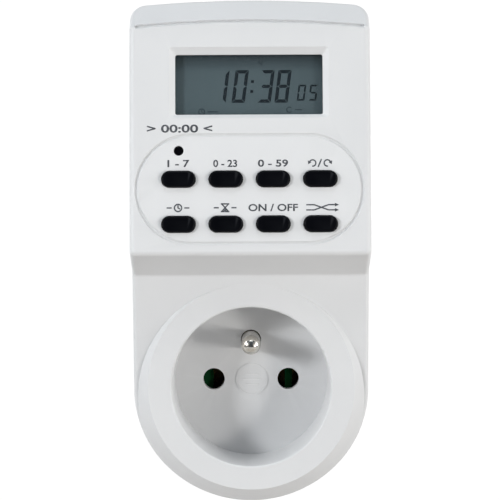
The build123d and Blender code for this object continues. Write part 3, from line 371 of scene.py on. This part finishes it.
    # clear window: polished, with faint moulding ripples and a trace of dust
    f = Finish("clear_window", 0.09, specular=0.22)
    f.colour(f.blend(f.between(f.noise(1500.0, 5.0, 0.7), 0.60, 0.78), (0.16, 0.18, 0.19), (0.42, 0.43, 0.43)))
    f.bsdf.inputs["IOR"].default_value = 1.49
    f.bsdf.inputs["Alpha"].default_value = 0.045
    f.roughness(f.between(f.noise(300.0, 4.0, 0.6), 0.3, 0.7, 0.06, 0.14))
    f.bump(f.noise(60.0, 2.0, 0.5), 0.15, 0.00001)
    made["clear_window"] = f.mat
    return made


finishes = build_finishes()
for obj in nodes.values():
    for index, old in enumerate(obj.data.materials):
        obj.data.materials[index] = finishes[old.name.split(".")[0]]


def ink(name, light, dark, roughness=0.5, specular=0.3):
    """Pad printed ink: broken slightly by the grain beneath it."""
    f = Finish(name, roughness, specular=specular)
    f.colour(f.blend(f.between(f.noise(2400.0, 3.0, 0.6), 0.50, 0.74), dark, light))
    f.roughness(f.between(f.noise(1500.0), 0.3, 0.7, roughness - 0.06, roughness + 0.08))
    f.bump(f.noise(2600.0, 3.0, 0.6), 0.3, 0.000006)
    return f.mat


label_ink = ink("label_ink", (0.19, 0.20, 0.22), (0.060, 0.065, 0.075))
segment_ink = ink("segment_ink", (0.0075, 0.015, 0.021), (0.0045, 0.010, 0.015), 0.42, 0.06)
faint_ink = ink("faint_ink", (0.038, 0.055, 0.066), (0.026, 0.040, 0.050), 0.42, 0.06)


# ------------------------------------------------------------------ the slanted face
LEAN = math.atan2(6.0, 55.8)
SL, CL = math.sin(LEAN), math.cos(LEAN)


def on_face(x, s, depth=0.0):
    """Point of the slanted face, x across and s up it, depth below it, in metres."""
    return Vector((x, -56.0 + SL * s + CL * depth, 33.1 + CL * s - SL * depth)) * MM


def face_matrix(x, s, depth=0.0):
    across, up, out = Vector((1, 0, 0)), Vector((0, SL, CL)), Vector((0, -CL, SL))
    m = Matrix((across, up, out)).transposed().to_4x4()
    m.translation = on_face(x, s, depth)
    return m


def film_of(name, outlines, depth, thickness, mat, body="housing"):
    """A thin printed film: each outline is a closed list of (x, s) in mm on the slanted face."""
    mesh = bpy.data.meshes.new(name)
    bm = bmesh.new()
    for outline in outlines:
        if sum(a[0] * b[1] - b[0] * a[1] for a, b in zip(outline, outline[1:] + outline[:1])) < 0:
            outline = outline[::-1]
        low = [bm.verts.new(on_face(x, s, depth)) for x, s in outline]
        high = [bm.verts.new(on_face(x, s, depth - thickness)) for x, s in outline]
        bm.faces.new(high)
        bm.faces.new(low[::-1])
        for i in range(len(outline)):
            j = (i + 1) % len(outline)
            bm.faces.new((low[i], low[j], high[j], high[i]))
    bmesh.ops.recalc_face_normals(bm, faces=bm.faces)
    bm.to_mesh(mesh)
    bm.free()
    obj = bpy.data.objects.new(name, mesh)
    scene.collection.objects.link(obj)
    mesh.materials.append(mat)
    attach(obj, body)
    return obj


# ------------------------------------------------------------------ display figures
SLANT = math.tan(math.radians(7.4))
FIGURES = {
    "0": "abcdef", "1": "bc", "2": "abged", "3": "abgcd", "4": "fgbc",
    "5": "afgcd", "6": "afgedc", "7": "abc", "8": "abcdefg", "9": "abfgcd",
}


def figure(char, x, s, width, height, stroke, gap):
    """Seven-bar figure whose lower left corner is (x, s)."""
    w, h, t, half = width, height, stroke, height / 2
    b = t / 2
    bars = {
        "a": [(gap, h), (t * 0.9 + gap, h - t), (w - t * 0.9 - gap, h - t), (w - gap, h)],
        "d": [(gap, 0), (t * 0.9 + gap, t), (w - t * 0.9 - gap, t), (w - gap, 0)],
        "g": [(b + gap, half), (t + gap, half + b), (w - t - gap, half + b),
              (w - b - gap, half), (w - t - gap, half - b), (t + gap, half - b)],
        "f": [(0, h - gap), (0, half + gap), (b * 0.9, half + gap), (t, half + b + gap), (t, h - t * 1.05 - gap)],
        "e": [(0, gap), (0, half - gap), (b * 0.9, half - gap), (t, half - b - gap), (t, t * 1.05 + gap)],
        "b": [(w, h - gap), (w, half + gap), (w - b * 0.9, half + gap), (w - t, half + b + gap), (w - t, h - t * 1.05 - gap)],
        "c": [(w, gap), (w, half - gap), (w - b * 0.9, half - gap), (w - t, half - b - gap), (w - t, t * 1.05 + gap)],
    }
    return [[(x + px + SLANT * py, s + py) for px, py in bars[k]] for k in FIGURES[char]]


def ring(cx, cs, r, width, steps=20, start=0.0, turn=360.0):
    """One closed outline that makes an open ring; a whole one keeps a hair's gap."""
    turn = max(-359.2, min(359.2, turn))
    angles = [math.radians(start + turn * k / steps) for k in range(steps + 1)]
    outer = [(cx + r * math.cos(t), cs + r * math.sin(t)) for t in angles]
    inner = [(cx + (r - width) * math.cos(t), cs + (r - width) * math.sin(t)) for t in angles]
    return [outer + inner[::-1]]


def bar(x0, s0, x1, s1, width):
    dx, ds = x1 - x0, s1 - s0
    n = math.hypot(dx, ds)
    ox, os_ = -ds / n * width / 2, dx / n * width / 2
    return [(x0 + ox, s0 + os_), (x0 - ox, s0 - os_), (x1 - ox, s1 - os_), (x1 + ox, s1 + os_)]


LCD_TOP = 2.90
bars = []
for char, x in (("1", -9.05), ("0", -4.42), ("3", 1.82), ("8", 5.92)):
    bars += figure(char, x, 36.78, 3.20, 7.93, 0.80, 0.09)
for x, s in ((0.07, 39.15), (0.28, 41.58)):
    bars.append([(x, s), (x + 0.70, s), (x + 0.79, s + 0.70), (x + 0.09, s + 0.70)])
for char, x in (("0", 11.28), ("5", 14.12)):
    bars += figure(char, x, 37.22, 1.86, 3.88, 0.42, 0.06)
film_of("display_figures", bars, LCD_TOP - 0.01, 0.02, segment_ink)

marks = figure("4", 2.0, 45.45, 0.95, 1.72, 0.20, 0.04)
marks += ring(-11.6, 34.62, 0.82, 0.20)
marks += [bar(-11.6, 34.62, -11.6, 35.2, 0.18), bar(-11.6, 34.62, -11.2, 34.4, 0.18)]
marks += [bar(-10.2, 34.62, -7.8, 34.62, 0.22)]
marks += ring(9.5, 35.05, 0.74, 0.20, 16, 40.0, 280.0)
marks += [bar(10.9, 35.05, 12.5, 35.05, 0.22)]
film_of("display_marks", marks, LCD_TOP - 0.01, 0.016, faint_ink)


# ------------------------------------------------------------------ printed key legends
def printed(name, text, x, s, height, width=None):
    """Plain figures and signs printed on the slanted face, centred at (x, s)."""
    curve = bpy.data.curves.new(name + "_text", "FONT")
    curve.body = text
    curve.align_x, curve.align_y = "LEFT", "BOTTOM_BASELINE"
    curve.size = 1.0
    curve.extrude = 0.0
    curve.offset = 0.022
    curve.resolution_u = 4
    temp = bpy.data.objects.new(name + "_temp", curve)
    scene.collection.objects.link(temp)
    bpy.context.view_layer.update()
    mesh = bpy.data.meshes.new_from_object(temp.evaluated_get(bpy.context.evaluated_depsgraph_get()))
    bpy.data.objects.remove(temp)
    xs = [v.co.x for v in mesh.vertices]
    ys = [v.co.y for v in mesh.vertices]
    tall = height / (max(ys) - min(ys))
    wide = tall if width is None else width / (max(xs) - min(xs))
    mid_x, mid_y = (max(xs) + min(xs)) / 2, (max(ys) + min(ys)) / 2
    mesh.transform(
        Matrix.Diagonal((wide * MM, tall * MM, 1, 1)) @ Matrix.Translation((-mid_x, -mid_y, 0)))
    bm = bmesh.new()
    bm.from_mesh(mesh)
    lifted = bmesh.ops.extrude_face_region(bm, geom=bm.faces[:])
    for v in (g for g in lifted["geom"] if isinstance(g, bmesh.types.BMVert)):
        v.co.z += 0.018 * MM
    bmesh.ops.recalc_face_normals(bm, faces=bm.faces)
    bm.to_mesh(mesh)
    bm.free()
    mesh.transform(face_matrix(x, s, -0.002))
    mesh.name = name
    mesh.materials.clear()
    mesh.materials.append(label_ink)
    obj = bpy.data.objects.new(name, mesh)
    scene.collection.objects.link(obj)
    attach(obj, "housing")
    return obj


ROW_1, ROW_2 = 21.75, 11.15
printed("legend_day", "1 - 7", -17.1, ROW_1, 1.75, 5.2)
printed("legend_hour", "0 - 23", -5.95, ROW_1, 1.75, 5.7)
printed("legend_minute", "0 - 59", 5.45, ROW_1, 1.75, 7.2)
printed("legend_mode", "ON / OFF", 5.42, ROW_2, 1.75, 11.8)
printed("legend_reset", "> 00:00 <", -16.8, 30.15, 1.95, 15.6)


def legend(name, outlines):
    return film_of(name, outlines, -0.002, 0.018, label_ink)


# recall: an arrow that turns back, either side of a stroke
recall = ring(14.9, ROW_1, 0.92, 0.32, 16, 150.0, -250.0)
recall += [[(13.75, ROW_1 + 0.62), (14.62, ROW_1 + 0.20), (13.85, ROW_1 - 0.30)]]
recall += [bar(16.2, ROW_1 - 0.95, 17.0, ROW_1 + 0.95, 0.32)]
recall += ring(18.4, ROW_1, 0.92, 0.32, 16, 30.0, 250.0)
recall += [[(19.55, ROW_1 + 0.62), (18.68, ROW_1 + 0.20), (19.45, ROW_1 - 0.30)]]
legend("legend_recall", recall)

# clock face with two hands
clock = ring(-17.2, ROW_2, 1.02, 0.32, 28)
clock += [bar(-17.2, ROW_2 - 0.08, -17.2, ROW_2 + 0.66, 0.30), bar(-17.2, ROW_2, -16.7, ROW_2 - 0.28, 0.30)]
clock += [bar(-19.9, ROW_2, -18.7, ROW_2, 0.32), bar(-15.7, ROW_2, -14.5, ROW_2, 0.32)]
legend("legend_clock", clock)

# sand glass
glass = [bar(-7.0, ROW_2 + 0.92, -5.0, ROW_2 + 0.92, 0.32), bar(-7.0, ROW_2 - 0.92, -5.0, ROW_2 - 0.92, 0.32)]
glass += [bar(-6.8, ROW_2 + 0.9, -5.2, ROW_2 - 0.9, 0.30), bar(-5.2, ROW_2 + 0.9, -6.8, ROW_2 - 0.9, 0.30)]
glass += [[(-6.45, ROW_2 - 0.8), (-5.55, ROW_2 - 0.8), (-6.0, ROW_2 - 0.25)]]
glass += [bar(-8.7, ROW_2, -7.5, ROW_2, 0.32), bar(-4.5, ROW_2, -3.3, ROW_2, 0.32)]
legend("legend_timer", glass)

# two strokes that cross: shuffled times
cross = [bar(13.3, ROW_2 - 0.62, 15.2, ROW_2 - 0.62, 0.32), bar(15.2, ROW_2 - 0.62, 18.6, ROW_2 + 0.62, 0.32),
         bar(18.6, ROW_2 + 0.62, 20.2, ROW_2 + 0.62, 0.32)]
cross += [bar(13.3, ROW_2 + 0.62, 15.2, ROW_2 + 0.62, 0.32), bar(15.2, ROW_2 + 0.62, 18.6, ROW_2 - 0.62, 0.32),
          bar(18.6, ROW_2 - 0.62, 20.2, ROW_2 - 0.62, 0.32)]
cross += [[(20.1, ROW_2 + 1.05), (21.1, ROW_2 + 0.62), (20.1, ROW_2 + 0.19)],
          [(20.1, ROW_2 - 0.19), (21.1, ROW_2 - 0.62), (20.1, ROW_2 - 1.05)]]
legend("legend_random", cross)


# ------------------------------------------------------------------ rubber domes and the shutter's spring
SOFT = finishes["grey_rubber"]
MAT_D, MAT_TOP = 7.0, 0.75        # board side of the keypad below the face, and the sheet's thickness


def joined(name, bm, mat, body="housing"):
    bmesh.ops.remove_doubles(bm, verts=bm.verts[:], dist=1e-7)
    bmesh.ops.recalc_face_normals(bm, faces=bm.faces)
    mesh = bpy.data.meshes.new(name)
    bm.to_mesh(mesh)
    bm.free()
    obj = bpy.data.objects.new(name, mesh)
    scene.collection.objects.link(obj)
    mesh.materials.append(mat)
    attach(obj, body)
    return obj


def keypad_sheet(spots):
    """Flat rubber sheet with a round hole under each dome."""
    curve = bpy.data.curves.new("keypad_outline", "CURVE")
    curve.dimensions, curve.fill_mode = "2D", "BOTH"
    curve.extrude = (MAT_TOP - 0.02) / 2
    loops = []
    edge = []
    for cx, cs, a0 in ((24.5 - 1.5, 12.2 - 1.5, 0), (-24.5 + 1.5, 12.2 - 1.5, 90),
                       (-24.5 + 1.5, -12.2 + 1.5, 180), (24.5 - 1.5, -12.2 + 1.5, 270)):
        edge += [(cx + 1.5 * math.cos(math.radians(a0 + 15 * k)),
                  15.2 + cs + 1.5 * math.sin(math.radians(a0 + 15 * k))) for k in range(7)]
    loops.append(edge)
    for x, u in spots:
        loops.append([(x + 1.76 * math.cos(2 * math.pi * k / 32), u + 1.76 * math.sin(2 * math.pi * k / 32))
                      for k in range(32)])
    for loop in loops:
        spline = curve.splines.new("POLY")
        spline.points.add(len(loop) - 1)
        for point, (x, u) in zip(spline.points, loop):
            point.co = (x, u, 0.0, 1.0)
        spline.use_cyclic_u = True
    temp = bpy.data.objects.new("keypad_temp", curve)
    scene.collection.objects.link(temp)
    bpy.context.view_layer.update()
    flat = bpy.data.meshes.new_from_object(temp.evaluated_get(bpy.context.evaluated_depsgraph_get()))
    bpy.data.objects.remove(temp)
    flat.transform(face_matrix(0, 0, MAT_D - (MAT_TOP + 0.02) / 2) @ Matrix.Scale(MM, 4))
    bm = bmesh.new()
    bm.from_mesh(flat)
    bpy.data.meshes.remove(flat)
    return joined("keypad_sheet", bm, SOFT)


def keypad_dome(name, x, u):
    """Hollow rubber cone with a plunger in its roof, turned about the key's axis."""
    profile = [(0.0, 2.95), (1.44, 2.95), (1.56, 2.90), (1.62, 2.80), (2.5, MAT_TOP), (1.76, MAT_TOP),
               (1.2, 1.9), (0.9, 1.9), (0.9, 1.5), (0.0, 1.5)]
    steps = 40
    bm = bmesh.new()
    rings = []
    for r, h in profile:
        count = 1 if r == 0.0 else steps
        rings.append([bm.verts.new(on_face(x + r * math.cos(2 * math.pi * k / steps),
                                           u + r * math.sin(2 * math.pi * k / steps), MAT_D - h))
                      for k in range(count)])
    for a, b in zip(rings, rings[1:]):
        for k in range(steps):
            m = (k + 1) % steps
            corners = [a[k % len(a)], a[m % len(a)], b[m % len(b)], b[k % len(b)]]
            bm.faces.new(list(dict.fromkeys(corners)))
    return joined(name, bm, SOFT)


KEY_XS = [-0.2 + (i - 1.5) * 11.27 for i in range(4)]
SPOTS = [(x, u) for u in (18.0, 7.24) for x in KEY_XS] + [(-17.05, 24.84)]
UNDER = ("key_day", "key_hour", "key_minute", "key_recall", "key_clock", "key_timer", "key_mode", "key_random",
         "reset_key")
sheet = keypad_sheet(SPOTS)
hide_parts("key_mat")
for key, (x, u) in zip(UNDER, SPOTS):
    dome = keypad_dome(key + "_dome", x, u)
    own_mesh(dome)

coil_mesh = nodes["shutter_spring"].data.copy()
coil = bpy.data.objects.new("shutter_coil", coil_mesh)
scene.collection.objects.link(coil)
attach(coil, "housing")
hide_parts("shutter_spring")
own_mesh(coil)


# ------------------------------------------------------------------ floor
def floor_disc():
    mesh = bpy.data.meshes.new("floor")
    bm = bmesh.new()
    bmesh.ops.create_circle(bm, cap_ends=True, radius=1.5, segments=96)
    bm.to_mesh(mesh)
    bm.free()
    disc = bpy.data.objects.new("floor", mesh)
    disc.location = (0, 0, -0.50)
    scene.collection.objects.link(disc)
    f = Finish("floor_paper", 0.85, specular=0.15)
    length = f.add("ShaderNodeVectorMath", operation="LENGTH")
    f.link(f.where, length.inputs[0])
    # painted shade: the floor is darker and warmer towards its middle, under the object, and pale towards its rim
    edge = f.between(length.outputs["Value"], 0.55, 1.45)
    tone = f.blend(edge, (0.56, 0.53, 0.50), (0.92, 0.92, 0.92))
    f.colour(f.blend(f.between(f.noise(60.0, 4.0, 0.6), 0.3, 0.8, 0.0, 0.08), tone, (0.45, 0.44, 0.42)))
    mesh.materials.append(f.mat)


floor_disc()


# ------------------------------------------------------------------ update the view layer
bpy.context.view_layer.update()
